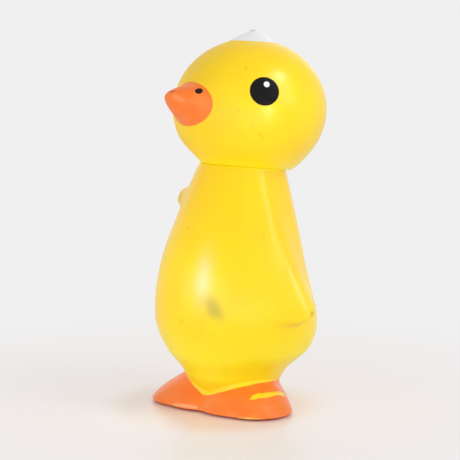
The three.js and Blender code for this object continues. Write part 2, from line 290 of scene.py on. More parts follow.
def torso_radius(angle, z):
    """Pear of the torso: round at each height, and shifted forward by the profile."""
    level = z / BODY_HEIGHT
    forward = along(TORSO_LEVEL, TORSO_FORWARD, level)
    return ray_to_circle(angle, forward, 0, along(TORSO_LEVEL, TORSO_RADIUS, level))


def sole_radius(angle):
    """Outline of both soles: round two toe circles and a heel circle each, with a web between the feet."""
    circles = np.array([
        (TOE_FORWARD, TOE_SIDE, TOE_RADIUS),
        (HEEL_FORWARD, HEEL_SIDE, HEEL_RADIUS),
        (INNER_TOE_FORWARD, INNER_TOE_SIDE, INNER_TOE_RADIUS),
    ])
    reach = np.zeros_like(angle)
    turn = np.hypot(angle, CLEFT_ROUND)
    for start, end in zip(circles, np.roll(circles, -1, axis=0)):
        for step in range(SOLE_STEPS):
            circle = lerp(start, end, step / SOLE_STEPS)
            reach = np.maximum(reach, ray_to_circle(turn, *circle))
    return smooth_max(WEB_RADIUS, reach, ANKLE_BLEND)


def at_front(angle):
    """1 straight ahead, between the feet, and 0 from the toes round to the heels."""
    return 1 - smoothstep(np.degrees(np.abs(angle)), 0, ANKLE_FRONT_SPAN)


def foot_radius(angle, z, sole):
    """Feet, from the outline of the soles up to the instep."""
    top = lerp(FOOT_RISE, FOOT_FRONT_RISE, at_front(angle))
    rise = np.clip((z - SOLE_EDGE) / (top - SOLE_EDGE), 0, 1)
    share = lerp(np.cos(rise * np.pi / 2), 1 - rise, FOOT_STRAIGHT)
    return lerp(ray_to_circle(angle, INSTEP_FORWARD, 0, INSTEP_RADIUS), sole, share)


def wing_height(angle, z):
    """Height of the wing over the torso: a ridge to the tip, a valley behind it and a fold in front."""
    turn = np.degrees(np.abs(angle))
    level = z / BODY_HEIGHT
    down = np.clip((1 - level) / (1 - WING_TIP_LEVEL), 0, 1)
    away = turn - lerp(WING_TOP_ANGLE, WING_TIP_ANGLE, down ** 2)
    front = 1 - smoothstep(-away, 0, lerp(WING_TOP_FRONT_SPAN, WING_FRONT_SPAN, down))
    back_span = lerp(WING_TOP_BACK_SPAN, WING_BACK_SPAN, down)
    back = 1 - smoothstep(away, 0, back_span)
    flap = lerp(WING_PROUD, WING_TIP_PROUD, down ** 2) * np.where(away < 0, front, back)
    behind = (away - back_span) / WING_VALLEY_SPAN
    valley = WING_VALLEY * np.exp(-2 * behind ** 2) * smoothstep(away, 0, back_span)
    off_crest = (away - WING_CREST_SHIFT * down) / WING_CREST_SPAN
    crest = lerp(WING_CREST, WING_TIP_CREST, down) * np.exp(-off_crest ** 2)
    off_fold = (turn - FOLD_ANGLE) / FOLD_SPAN
    along_fold = (level - FOLD_LEVEL) / FOLD_LENGTH
    fold = FOLD_PROUD * np.exp(-off_fold ** 2 - along_fold ** 4)
    curl = np.clip((turn - WING_CREASE_ANGLE) / WING_CREASE_SPAN, *WING_CREASE_ENDS)
    crease = BODY_HEIGHT * (WING_CREASE_LEVEL + WING_CREASE_CURL * curl ** 4)
    aft = np.clip((turn - WING_TOP_ANGLE) / (WING_TIP_ANGLE - WING_TOP_ANGLE), 0, 1)
    softness = lerp(WING_CREASE_SOFTNESS, WING_TIP_SOFTNESS, aft)
    above = smoothstep(z, crease - softness, crease + softness)
    fade = 1 - smoothstep(level, WING_START_LEVEL, 1)
    return above * ((flap - valley) * fade + crest) + fold


def knob_height(angle, z):
    """Shoulder of the chick's right wing, which shows past the chest as a rounded knob."""
    turn = (np.degrees(angle) - KNOB_ANGLE) / KNOB_TURN
    rise = (z - KNOB_LEVEL * BODY_HEIGHT) / KNOB_RISE
    return KNOB_PROUD * np.exp(-turn ** 2 - rise ** 4)


def shell_radius(angle, z, sole):
    """Torso, feet and wings, without the knob."""
    blend = lerp(ANKLE_BLEND, ANKLE_FRONT_BLEND, at_front(angle))
    return smooth_max(torso_radius(angle, z), foot_radius(angle, z, sole), blend) + wing_height(angle, z)


def body_radius(angle, z, sole):
    return shell_radius(angle, z, sole) + knob_height(angle, z)


def body_ring(angle, radius, z):
    """Points round the upright axis, at angles from straight ahead."""
    return np.stack([np.sin(angle) * radius, -np.cos(angle) * radius, z + np.zeros_like(angle)], -1)


NECK_ROTATION = rotation_x(-SEAM_TILT)
NECK_TOP = np.array([0, NECK_BACK, BODY_HEIGHT - NECK_BACK * math.tan(SEAM_TILT)])
NECK_PIVOT = NECK_TOP + NECK_AXIS * SEAM_RISE


def neck_ring(angle, radius, height):
    """Circle about the axis of the neck, at a height over the seam."""
    return body_ring(angle, np.full_like(angle, radius), height) @ NECK_ROTATION.T + NECK_PIVOT


def seam_height(points):
    """Height of points over the seam, along the axis of the neck."""
    return (points - NECK_PIVOT) @ NECK_AXIS


def neck_reach(points):
    """Distance of points from the axis of the neck."""
    own = (points - NECK_PIVOT) @ NECK_ROTATION
    return np.hypot(own[:, 0], own[:, 1])


def top_of_body(angle, sole, below_seam):
    """Height at which each column of the body meets a plane below the seam."""
    low = np.full_like(angle, BODY_HEIGHT / 2)
    high = np.full_like(angle, BODY_HEIGHT + SEARCH_MARGIN)
    for _ in range(SEARCH_ROUNDS):
        middle = (low + high) / 2
        over = seam_height(body_ring(angle, body_radius(angle, middle, sole), middle)) > -below_seam
        high = np.where(over, middle, high)
        low = np.where(over, low, middle)
    return low


def body_rings():
    """Rings of the closed body shell: sole, outside, seam, neck plug, bore and hollow."""
    angle = np.linspace(-np.pi, np.pi, BODY_COLUMNS, endpoint=False)
    sole = sole_radius(angle)
    edge = body_radius(angle, SOLE_EDGE + np.zeros_like(angle), sole)
    rings = [body_ring(angle, (edge - UNDERCUT_DEPTH) * share, 0) for share in SOLE_SHARES]
    round_over = SOLE_EDGE - UNDERCUT_RISE
    for turn in np.linspace(0, np.pi / 2, EDGE_STEPS, endpoint=False):
        inset = round_over * (1 - math.sin(turn))
        rings.append(body_ring(angle, edge - inset, SOLE_EDGE - round_over * math.cos(turn)))
    top = top_of_body(angle, sole, 0)
    reach = neck_reach(body_ring(angle, body_radius(angle, top, sole), top))
    ledge = np.maximum(reach - SHOULDER_RADIUS, RIM_ROUND)
    drop = np.where(ledge > RIM_ROUND, ledge * SHOULDER_DROP, RIM_ROUND)
    top = top_of_body(angle, sole, drop)
    foot_levels = np.linspace(SOLE_EDGE, FOOT_RISE + ANKLE_BLEND, FOOT_ROWS, endpoint=False)
    for z in foot_levels:
        rings.append(body_ring(angle, body_radius(angle, z + np.zeros_like(angle), sole), z))
    for share in np.linspace(0, 1, TORSO_ROWS):
        z = lerp(FOOT_RISE + ANKLE_BLEND, top, share)
        rings.append(body_ring(angle, body_radius(angle, z, sole), z))
    rim = rings[-1]
    inward = NECK_PIVOT - NECK_AXIS * drop[:, None] - rim
    inward *= (ledge / np.linalg.norm(inward, axis=1))[:, None]
    for turn in np.linspace(0, np.pi / 2, SHOULDER_STEPS)[1:]:
        lift = NECK_AXIS * drop[:, None] * math.sin(turn)
        rings.append(rim + inward * (1 - math.cos(turn)) + lift)
    flange_from = SEAM_GAP + WALL + PLUG_CLEARANCE
    flange_to = flange_from + FLANGE_THICKNESS
    for radius, height in [
        (PLUG_RADIUS, 0),
        (PLUG_RADIUS, flange_from),
        (FLANGE_RADIUS, flange_from),
        (FLANGE_RADIUS, flange_from + FLANGE_EDGE),
        (PLUG_RADIUS, flange_to),
        (PLUG_BORE_RADIUS, flange_to),
        (PLUG_BORE_RADIUS, -WALL),
    ]:
        rings.append(neck_ring(angle, radius, height))
    ceiling = top_of_body(angle, sole, WALL)
    for share in np.linspace(1, 0, HOLLOW_ROWS):
        z = lerp(WALL, ceiling, share)
        slope = (shell_radius(angle, z + WALL, sole) - shell_radius(angle, z - WALL, sole)) / (2 * WALL)
        rings.append(body_ring(angle, shell_radius(angle, z, sole) - WALL * np.hypot(1, slope), z))
    for share in HOLLOW_SHARES:
        rings.append(body_ring(angle, np.hypot(rings[-1][:, 0], rings[-1][:, 1]) * share, WALL))
    return rings, np.zeros(3), np.array([0, 0, WALL])


# Head

def spheroid(direction, inset):
    """Points of the head's plain ball along directions, less an inset."""
    flat = np.hypot(direction[..., 0], direction[..., 1]) / (HEAD_RADIUS - inset)
    upright = direction[..., 2] / (HEAD_HALF_HEIGHT - inset)
    return direction / np.hypot(flat, upright)[..., None]


def outward_at(point):
    """Level direction from the upright axis of the head out to a point."""
    flat = np.maximum(np.hypot(point[..., 0], point[..., 1]), TINY)
    return np.stack([point[..., 0] / flat, point[..., 1] / flat, np.zeros_like(flat)], -1)


def over_seam(point):
    """Height over the seam of a point in the head's own frame."""
    return (point + HEAD_CENTRE) @ NECK_AXIS


def rim_lip(point):
    """How far the lower rim of the head stands out, mostly at the back."""
    outward = outward_at(point)
    lip = RIM_LIP * (1 + outward[..., 1]) / 2 * (1 - smoothstep(over_seam(point), 0, RIM_LIP_RISE))
    return outward * lip[..., None]


def chin_hollow(point):
    """How far the underside of the head draws in, on its right side below the beak."""
    outward = outward_at(point)
    rise = (point[..., 2] - CHIN_HEIGHT) / CHIN_SPAN
    depth = CHIN_DEPTH * np.exp(-rise ** 2) * smoothstep(over_seam(point), *CHIN_FADE)
    beside = (1 - smoothstep(point[..., 0], *CHIN_SIDE)) * (1 - outward[..., 1]) / 2
    return outward * (-depth * beside)[..., None]


def beak_share(direction):
    """Place on the face as a share of the way from the beak's axis to the edge of its foot."""
    turned = direction @ rotation_x(-BEAK_FOOT_PITCH)
    polar = np.arccos(np.clip(-turned[..., 1], -1, 1))
    roll = np.arctan2(turned[..., 0], turned[..., 2])
    share = np.ones_like(polar)
    for _ in range(BEAK_ROUNDS):
        power = lerp(BEAK_TIP_POWER, BEAK_FOOT_POWER, np.minimum(share, 1))
        side = (np.abs(np.sin(roll)) / BEAK_HALF_WIDTH) ** power
        upright = (np.abs(np.cos(roll)) / BEAK_HALF_HEIGHT) ** power
        foot = (side + upright) ** (-1 / power)
        share = polar / foot
    return share, polar - foot, (1 + np.cos(roll)) / 2


def beak_out(share, brow):
    """Length of the beak at a share of its foot, by the profile from the tip to the brow or the chin."""
    t = np.linspace(0, 1, BEAK_PROFILE_STEPS)
    x = 3 * (1 - t) ** 2 * t * BEAK_TIP_SHARE + 3 * (1 - t) * t ** 2 * BEAK_FLANK_SHARE + t ** 3
    tip = (1 - t) ** 3 + 3 * (1 - t) ** 2 * t
    flank = 3 * (1 - t) * t ** 2
    flare = lerp(BEAK_CHIN_OUT, BEAK_BROW_OUT, brow)
    return np.interp(share, x, tip, right=0) + flare * np.interp(share, x, flank, right=0)


def crown_cosine(direction, lean, side):
    """Cosine of the angle off an axis that leans back and to the left from straight up."""
    return direction @ (rotation_x(-lean) @ np.array([math.sin(side), 0, math.cos(side)]))


def crown_reach(direction):
    """Distance from the head's centre to the cone of the crown, and the sine of the angle off its axis."""
    cosine = crown_cosine(direction, CROWN_LEAN, CROWN_SIDE)
    sine = np.sqrt(np.maximum(1 - cosine ** 2, 0))
    base = HEAD_HALF_HEIGHT * math.sqrt(1 - (CROWN_RADIUS / HEAD_RADIUS) ** 2)
    apex = HEAD_HALF_HEIGHT + CROWN_RISE
    slope = (apex - base) / CROWN_RADIUS
    blunt = np.sqrt(sine ** 2 + CROWN_TIP_ROUND ** 2) - CROWN_TIP_ROUND * CROWN_TIP_SHARE
    return np.where(cosine > CROWN_COSINE, apex / (np.maximum(cosine, CROWN_COSINE) + slope * blunt), 0), sine


def head_surface(direction):
    """Outer surface of the head about its centre, upright and facing straight ahead."""
    ball = spheroid(direction, 0)
    reach = np.linalg.norm(ball, axis=-1)
    cone, _ = crown_reach(direction)
    point = direction * smooth_max(reach, cone, CROWN_BLEND)[..., None]
    share, _, brow = beak_share(direction)
    axis = np.array([0, -math.cos(BEAK_PITCH), math.sin(BEAK_PITCH)])
    return point + axis * (beak_out(share, brow) * BEAK_LENGTH)[..., None] + rim_lip(ball) + chin_hollow(ball)


def direction_at(azimuth, rise):
    """Direction at an azimuth from straight ahead and a rise over the level."""
    return np.stack([np.sin(azimuth) * np.cos(rise), -np.cos(azimuth) * np.cos(rise), np.sin(rise)], -1)


def head_to_world(point):
    """From the head's own upright frame to its place on the neck."""
    seated = (point + HEAD_CENTRE) @ rotation_x(SEAM_TILT).T @ rotation_z(-HEAD_TURN).T
    return seated @ NECK_ROTATION.T + NECK_PIVOT


def rise_at_seam(azimuth, height, inset):
    """Rise of the rim of the head's surface, less an inset, at a height over the seam."""
    low = np.full_like(azimuth, LOWEST_RISE)
    high = np.zeros_like(azimuth)
    for _ in range(SEARCH_ROUNDS):
        middle = (low + high) / 2
        ball = spheroid(direction_at(azimuth, middle), inset)
        over = over_seam(ball + rim_lip(ball)) > height
        high = np.where(over, middle, high)
        low = np.where(over, low, middle)
    return high


def head_rings():
    """Rings of the closed head shell, from the crown to the hollow, and the directions of those outside."""
    even = np.linspace(np.pi, -np.pi, HEAD_COLUMNS, endpoint=False)
    azimuth = even - FACE_CROWDING * np.sin(even)
    rim_rise = rise_at_seam(azimuth, SEAM_GAP + RIM_ROUND, 0)
    directions = []
    for share in np.linspace(0, 1, HEAD_ROWS + 1)[1:]:
        directions.append(direction_at(azimuth, lerp(np.pi / 2, rim_rise, share)))
    rings = [head_surface(direction) for direction in directions]
    rim = rings[-1]
    centre = NECK_AXIS * (SEAM_GAP + RIM_ROUND) - HEAD_CENTRE
    inward = centre - rim
    inward /= np.linalg.norm(inward, axis=1, keepdims=True)
    for turn in np.linspace(0, np.pi / 2, EDGE_STEPS)[1:]:
        drop = NECK_AXIS * RIM_ROUND * math.sin(turn)
        rings.append(rim + inward * RIM_ROUND * (1 - math.cos(turn)) - drop)
    lean = rotation_x(SEAM_TILT)
    spoke = np.arctan2((rim + HEAD_CENTRE) @ lean.T[:, 0], -((rim + HEAD_CENTRE) @ lean.T[:, 1]))
    hole = PLUG_RADIUS + PLUG_CLEARANCE
    for height in (SEAM_GAP, SEAM_GAP + WALL):
        rings.append(body_ring(spoke, np.full_like(spoke, hole), height) @ lean - HEAD_CENTRE)
    floor_rise = rise_at_seam(azimuth, SEAM_GAP + WALL, WALL)
    for share in np.linspace(0, 1, HOLLOW_ROWS, endpoint=False):
        ball = spheroid(direction_at(azimuth, lerp(floor_rise, np.pi / 2, share)), WALL)
        rings.append(ball + rim_lip(ball))
    top = head_surface(direction_at(np.zeros(1), np.full(1, np.pi / 2)))[0]
    return rings, top, np.array([0, 0, HEAD_HALF_HEIGHT - WALL]), np.concatenate(directions)


# Meshes

def loft(name, rings, start, end):
    """Closed mesh through rings of points, with a point at each end."""
    count = len(rings[0])
    points = np.concatenate([start[None], *rings, end[None]])
    first = 1 + np.arange(count)
    beside = 1 + (np.arange(count) + 1) % count
    last = first + count * (len(rings) - 1)
    faces = [(0, int(b), int(a)) for a, b in zip(first, beside)]
    for row in range(len(rings) - 1):
        a = first + row * count
        b = beside + row * count
        faces.extend(np.stack([a, b, b + count, a + count], -1).tolist())
    tip = len(points) - 1
    beside_last = beside + count * (len(rings) - 1)
    faces.extend((int(a), int(b), tip) for a, b in zip(last, beside_last))
    mesh = bpy.data.meshes.new(name)
    mesh.from_pydata((points * MM).tolist(), [], faces)
    mesh.shade_smooth()
    mesh.set_sharp_from_angle(angle=SHARP_ANGLE)
    mesh.update()
    piece = bpy.data.objects.new(name, mesh)
    bpy.context.scene.collection.objects.link(piece)
    return piece


def store(piece, name, values):
    """Keep one number for each point of a piece's surface, for its material."""
    attribute = piece.data.attributes.new(name, "FLOAT", "POINT")
    attribute.data.foreach_set("value", np.asarray(values, dtype=np.float32))


def mark_field(places, marks):
    """Nearness to a few short marks, from 1 at a mark to 0 away from it."""
    field = np.zeros(len(places))
    for start, end, width in marks:
        line = end - start
        share = np.clip((places - start) @ line / max(line @ line, TINY), 0, 1)
        apart = places - start - share[:, None] * line
        field = np.maximum(field, np.exp(-(apart ** 2).sum(1) / width ** 2))
    return field


def make_head():
    """Head shell, with what its material needs to know of each point."""
    rings, top, hollow_top, grid = head_rings()
    own = np.concatenate([top[None], *rings, hollow_top[None]])
    placed = [head_to_world(ring) for ring in rings]
    piece = loft("head_skin", placed, head_to_world(top), head_to_world(hollow_top))
    direction = own / np.linalg.norm(own, axis=1, keepdims=True)
    outer_rows = 1 + len(grid)
    beak = np.full(len(own), HEAD_RADIUS, dtype=float)
    _, beyond, _ = beak_share(grid)
    beak[1:outer_rows] = beyond * HEAD_RADIUS
    store(piece, "beak_edge", beak)
    crown = np.full(len(own), HEAD_RADIUS, dtype=float)
    reach = np.linalg.norm(own, axis=1)
    off_axis = np.sqrt(1 - np.minimum(crown_cosine(direction, CROWN_PAINT_LEAN, CROWN_PAINT_SIDE), 1) ** 2)
    crown[:outer_rows] = (off_axis * reach - CROWN_PAINT_RADIUS)[:outer_rows]
    crown[own[:, 2] < 0] = HEAD_RADIUS
    store(piece, "crown_edge", crown)
    _, sine = crown_reach(direction)
    store(piece, "crown_tip", np.where(own[:, 2] > 0, sine * reach - CROWN_TIP_RADIUS, HEAD_RADIUS))
    store(piece, "height", own[:, 2])
    store(piece, "seam", over_seam(own))
    store(piece, "turned", np.degrees(np.arctan2(np.abs(own[:, 0]), -own[:, 1])))
    mirrored = own.copy()
    mirrored[:, 0] = np.abs(own[:, 0])
    eye = spheroid(direction_at(*np.radians(EYE_PLACE)), 0)
    glint = spheroid(direction_at(*np.radians(GLINT_PLACE)), 0)
    store(piece, "eye_edge", np.linalg.norm(mirrored - eye, axis=1) - EYE_RADIUS)
    store(piece, "glint_edge", np.linalg.norm(mirrored - glint, axis=1) - GLINT_RADIUS)
    store(piece, "nostril_edge", np.linalg.norm(mirrored - NOSTRIL_POINT, axis=1) - NOSTRIL_RADIUS)
    marks = []
    for azimuth, rise, end_azimuth, end_rise, width in HEAD_MARKS:
        start = spheroid(direction_at(*np.radians((azimuth, rise))), 0)
        marks.append((start, spheroid(direction_at(*np.radians((end_azimuth, end_rise))), 0), width))
    store(piece, "marks", mark_field(own, marks))
    # Ends of the painted shade down the crown's left slope
    ends = [head_surface(direction_at(*np.radians(end))) for end in (CROWN_SHADE_TOP, CROWN_SHADE_FOOT)]
    store(piece, "crown_shade", mark_field(own, [(*ends, CROWN_SHADE_WIDTH)]))
    store(piece, "beak_dirt", mark_field(own, [(*np.array(BEAK_DIRT), BEAK_DIRT_WIDTH)]))
    # Nearness to the painted highlight along the beak's ridge
    store(piece, "beak_painted_highlight", mark_field(own, [(*np.array(BEAK_PAINTED_HIGHLIGHT), BEAK_PAINTED_HIGHLIGHT_WIDTH)]))
    return piece


def spot_on_body(angle, z):
    """Place on the outside of the body, at an angle from straight ahead and a height."""
    angle = np.radians(np.array([angle], dtype=float))
    return body_ring(angle, body_radius(angle, np.array([z], dtype=float), sole_radius(angle)), z)[0]


def stroke_distance(points, stroke):
    """Distance from a stroke along the body that widens and narrows, below zero inside it."""
    places = np.array([spot_on_body(angle, z) for angle, z, _ in stroke])
    halves = np.array([half for _, _, half in stroke])
    nearest = np.full(len(points), FAR, dtype=float)
    for i in range(len(stroke) - 1):
        line = places[i + 1] - places[i]
        share = np.clip((points - places[i]) @ line / (line @ line), 0, 1)
        apart = np.linalg.norm(points - places[i] - share[:, None] * line, axis=1)
        nearest = np.minimum(nearest, apart - lerp(halves[i], halves[i + 1], share))
    return nearest


def blotch_field(points, place, half, slant):
    """Nearness to a slanted oval blotch on the body, from 1 in its middle to 0 away from it."""
    away = points - spot_on_body(*place)
    turn = math.radians(place[0])
    beside = away @ np.array([math.cos(turn), math.sin(turn), 0])
    depth = away @ np.array([math.sin(turn), -math.cos(turn), 0])
    along_it = beside * math.sin(slant) - away[:, 2] * math.cos(slant)
    across = beside * math.cos(slant) + away[:, 2] * math.sin(slant)
    return np.exp(-(across / half[0]) ** 2 - (along_it / half[1]) ** 2) * (np.abs(depth) < BLOTCH_DEPTH)


def make_body():
    """Body shell, with what its material needs to know of each point."""
    rings, bottom, hollow_bottom = body_rings()
    points = np.concatenate([bottom[None], *rings, hollow_bottom[None]])
    piece = loft("body_skin", rings, bottom, hollow_bottom)
    turn = np.degrees(np.arctan2(points[:, 0], -points[:, 1]))
    z = points[:, 2]
    store(piece, "height", z)
    store(piece, "seam", seam_height(points))
    store(piece, "foot_edge", z - along(PAINT_ANGLE, PAINT_HEIGHT, turn))
    store(piece, "patch", stroke_distance(points, PATCH))
    store(piece, "edge_rub", stroke_distance(points, EDGE_RUB))
    # Distance from the painted highlight on the far foot's lower edge
    store(piece, "edge_painted_highlight", stroke_distance(points, EDGE_PAINTED_HIGHLIGHT))
    # Distance from the strokes of painted shade under the wing and under the head's rim
    crease_shades = np.minimum(stroke_distance(points, CREASE_SHADE_LINE), stroke_distance(points, RIM_SHADE))
    store(piece, "crease", crease_shades)
    store(piece, "knob", knob_height(np.radians(turn), z) / KNOB_PROUD)
    store(piece, "stain", blotch_field(points, STAIN_PLACE, STAIN_HALF, STAIN_SLANT))
    # Nearness to the painted highlight on the belly
    store(piece, "belly_highlight", blotch_field(points, BELLY_HIGHLIGHT_PLACE, BELLY_HIGHLIGHT_HALF, 0))
    marks = [(spot_on_body(*mark[:2]), spot_on_body(*mark[2:4]), mark[4]) for mark in BODY_MARKS]
    store(piece, "marks", mark_field(points, marks))
    tip = spot_on_body(*WING_TIP_PLACE)
    mirrored = points.copy()
    mirrored[:, 0] = np.abs(points[:, 0])
    store(piece, "wing_tip", mark_field(mirrored, [(tip, tip, WING_TIP_RUB_WIDTH)]))
    return piece


# Materials

def to_linear(value):
    """One channel of a colour on a screen, 0 to 255, as light, by the usual curve of screens."""
    share = value / 255
    return share / 12.92 if share <= 0.04045 else ((share + 0.055) / 1.055) ** 2.4


def linear(red, green, blue):
    """Colour given as on a screen, for a shader."""
    return (to_linear(red), to_linear(green), to_linear(blue), 1)


YELLOW = linear(255, 219, 15)
YELLOW_WARM = linear(254, 211, 13)
# Deeper yellow for painted shade high up, and paler yellow for painted light low down and by the seam
YELLOW_PAINTED_SHADE = linear(253, 206, 4)
YELLOW_PAINTED_LIGHT = linear(255, 236, 30)
ORANGE = linear(253, 124, 40)
ORANGE_PALE = linear(253, 136, 56)
BLACK = linear(27, 27, 29)
WHITE = linear(237, 236, 238)
GLINT = linear(250, 250, 250)
GLINT_SPECK = linear(170, 170, 170)
GREY_GREEN = linear(150, 150, 128)
STAIN = linear(150, 156, 70)
# Pale cream for the painted highlight on the belly
BELLY_HIGHLIGHT_COLOUR = linear(238, 218, 176)
# Dark olive, for dirt at the wing tip and for painted shade on the knob
DIRT_AND_SHADE = linear(120, 96, 20)
SPECK = linear(122, 122, 16)
DUST = linear(214, 176, 18)
# Deep yellow for painted shade in creases
CREASE_SHADE = linear(226, 172, 8)
RUBBED = linear(255, 222, 96)
# Pale peach for painted highlights on the beak and on the far foot
PEACH_HIGHLIGHT = linear(255, 186, 142)
RUST = linear(130, 56, 24)
FULL_SHINE = linear(255, 255, 255)
HALF_SHINE = linear(100, 100, 100)

# Washes of colour, several of them painted light and painted shade: where a field starts and ends to count,
# and the share of the colour at each end
# Painted light low on the head and painted shade high on it
HEAD_PAINTED_LIGHT_LOW = (-28, -16, 0.45, 0)
HEAD_PAINTED_SHADE_HIGH = (8, 30, 0, 0.7)
# Painted light: paler yellow by the seam, against the shade in its crevice
HEAD_SEAM_PAINTED_LIGHT = (0.3, 4, 0.8, 0)
HEAD_SPECKS = (0.1, 0.9, 0, 0.18)
# Painted highlight on the beak
BEAK_PAINTED_HIGHLIGHT_WASH = (0.1, 1, 0, 0.24)
BEAK_DIRT_WASH = (0.1, 0.9, 0, 0.6)
# Painted shade on the crown's left slope
CROWN_SHADE_WASH = (0.1, 0.9, 0, 0.45)
FACE_DULLNESS = (35, 62, 1, 0)
# Painted light low on the body and painted shade high on it
BODY_PAINTED_LIGHT_LOW = (22, 42, 0.9, 0)
BODY_PAINTED_SHADE_HIGH = (50, 98, 0, 0.7)
# Painted shade: warmer yellow just above the feet, at the ankle crease
ANKLE_PAINTED_SHADE = (11, 17, 0.75, 0)
# Painted light: paler yellow on the neck just below the seam
BODY_SEAM_PAINTED_LIGHT = (-0.7, -0.1, 0, 0.8)
BODY_SPECKS = (0.1, 0.9, 0, 0.2)
# Painted shade on the knob, which stands behind the chest
KNOB_PAINTED_SHADE = (0.1, 0.7, 0, 0.22)
# Painted shade along the creases
CREASE_SHADE_WASH = (-0.6, 1.4, 0.18, 0)
STAIN_WASH = (0.02, 1, 0, 0.6)
WING_TIP_WASH = (0.1, 0.95, 0, 0.38)
# Painted highlight on the far foot's lower edge
EDGE_PAINTED_HIGHLIGHT_WASH = (-0.4, 0.9, 0.85, 0)

# Edges of paint in millimetres: half the soft width, how ragged, and the size of the rags
BEAK_EDGE = (0.18, 0.12, 2.5)
NOSTRIL_EDGE = (0.12, 0.1, 1.5)
CROWN_EDGE = (0.2, 0.1, 2)
CROWN_TIP_EDGE = (0.8, 0.5, 1.5)
EYE_EDGE = (0.14, 0.12, 3)
GLINT_EDGE = (0.12, 0.05, 1.5)
GLINT_SPECK_SOFT = 0.15
FOOT_EDGE = (0.2, 0.25, 3)
PATCH_EDGE = (0.25, 0.6, 1.4)
RUBBED_EDGE = (0.25, 0.3, 1.5)
CROWN_TIP_GREY = 0.7
GLINT_SPECK_SHARE = 0.5
RUBBED_SHARE = 0.8

# Noise: how fine it is, the size of its features, and how its middle values are spread
COARSE = 2
FINE = 3
CLOUD_SIZE = 26
TINT_SIZE = 7
CLOUD_SPREAD = (0.35, 0.7)
DUST_SIZE = 1.6
DUST_SPREAD = (0.74, 0.82, 0, 0.25)
BLOTCH_SIZE = 6
BELLY_HIGHLIGHT_SPREAD = (0.25, 0.75, 0.3, 0.55)
STAIN_SPREAD = (0.25, 0.75, 0.75, 1.05)
WORN_SIZE = 3
WORN_SPREAD = (0.4, 0.65, 0, 0.6)
SHEEN_SIZE = 9
SHEEN_SPREAD = (0.3, 0.7, 0.28, 0.34)
DULLER = 0.2
GRAIN_SIZE = 0.7
GRAIN_STRENGTH = 0.06
GRAIN_DEPTH = 0.1

# Shine of the vinyl, and how light spreads in it
SPECULAR = 0.42
SCATTER = 0.15
SCATTER_RADIUS = (1, 0.45, 0.1)
SCATTER_DEPTH = 3

# Sockets of a Mix node that hold colours
MIX_UNDER = 6
MIX_OVER = 7
MIX_RESULT = 2


class Nodes:
    """Short ways to add nodes to a material or a world."""

    def __init__(self, tree):
        self.tree = tree

    def link(self, value, socket):
        if isinstance(value, bpy.types.NodeSocket):
            self.tree.links.new(value, socket)
        else:
            socket.default_value = value

    def math(self, operation, a, b):
        node = self.tree.nodes.new("ShaderNodeMath")
        node.operation = operation
        self.link(a, node.inputs[0])
        self.link(b, node.inputs[1])
        return node.outputs[0]

    def ramp(self, value, low, high, to_low=0, to_high=1):
        node = self.tree.nodes.new("ShaderNodeMapRange")
        node.interpolation_type = "SMOOTHSTEP"
        self.link(value, node.inputs["Value"])
        node.inputs["From Min"].default_value = low
        node.inputs["From Max"].default_value = high
        node.inputs["To Min"].default_value = to_low
        node.inputs["To Max"].default_value = to_high
        return node.outputs["Result"]

    def mix(self, factor, under, over):
        node = self.tree.nodes.new("ShaderNodeMix")
        node.data_type = "RGBA"
        self.link(factor, node.inputs[0])
        self.link(under, node.inputs[MIX_UNDER])
        self.link(over, node.inputs[MIX_OVER])
        return node.outputs[MIX_RESULT]


class Paint(Nodes):
    """Material of painted vinyl, built up as layers of colour over a yellow ground."""

    def __init__(self, name):
        self.material = bpy.data.materials.new(name)
        self.material.use_nodes = True
        super().__init__(self.material.node_tree)
        self.shader = self.tree.nodes["Principled BSDF"]
        self.place = self.tree.nodes.new("ShaderNodeTexCoord").outputs["Object"]
        self.colour = None

    def noise(self, size, detail):
        """Noise with features of a size in millimetres."""
        node = self.tree.nodes.new("ShaderNodeTexNoise")
        self.link(self.place, node.inputs["Vector"])
        node.inputs["Scale"].default_value = 1 / (size * MM)
        node.inputs["Detail"].default_value = detail
        return node.outputs["Fac"]

    def field(self, name):
        node = self.tree.nodes.new("ShaderNodeAttribute")
        node.attribute_name = name
        return node.outputs["Fac"]

    def layer(self, factor, colour):
        self.colour = self.mix(factor, self.colour, colour)

    def wash(self, name, spread, colour):
        """Layer of a colour by the value of a field."""
        self.layer(self.ramp(self.field(name), *spread), colour)

    def inside(self, distance, soft, ragged=0, size=1):
        """Mask that is 1 where a distance is below zero, with a soft and ragged edge in millimetres."""
        if ragged:
            wobble = self.math("SUBTRACT", self.noise(size, FINE), 0.5)
            distance = self.math("ADD", distance, self.math("MULTIPLY", wobble, 2 * ragged))
        return self.ramp(distance, -soft, soft, 1, 0)

    def bump(self, height, strength, distance):
        node = self.tree.nodes.new("ShaderNodeBump")
        node.inputs["Strength"].default_value = strength
        node.inputs["Distance"].default_value = distance * MM
        self.link(height, node.inputs["Height"])
        self.link(node.outputs["Normal"], self.shader.inputs["Normal"])

    def finish(self, roughness):
        self.link(self.colour, self.shader.inputs["Base Color"])
        self.link(roughness, self.shader.inputs["Roughness"])
        self.shader.inputs["Specular IOR Level"].default_value = SPECULAR
        self.shader.inputs["Subsurface Weight"].default_value = SCATTER
        self.shader.inputs["Subsurface Radius"].default_value = SCATTER_RADIUS
        self.shader.inputs["Subsurface Scale"].default_value = SCATTER_DEPTH * MM
        return self.material


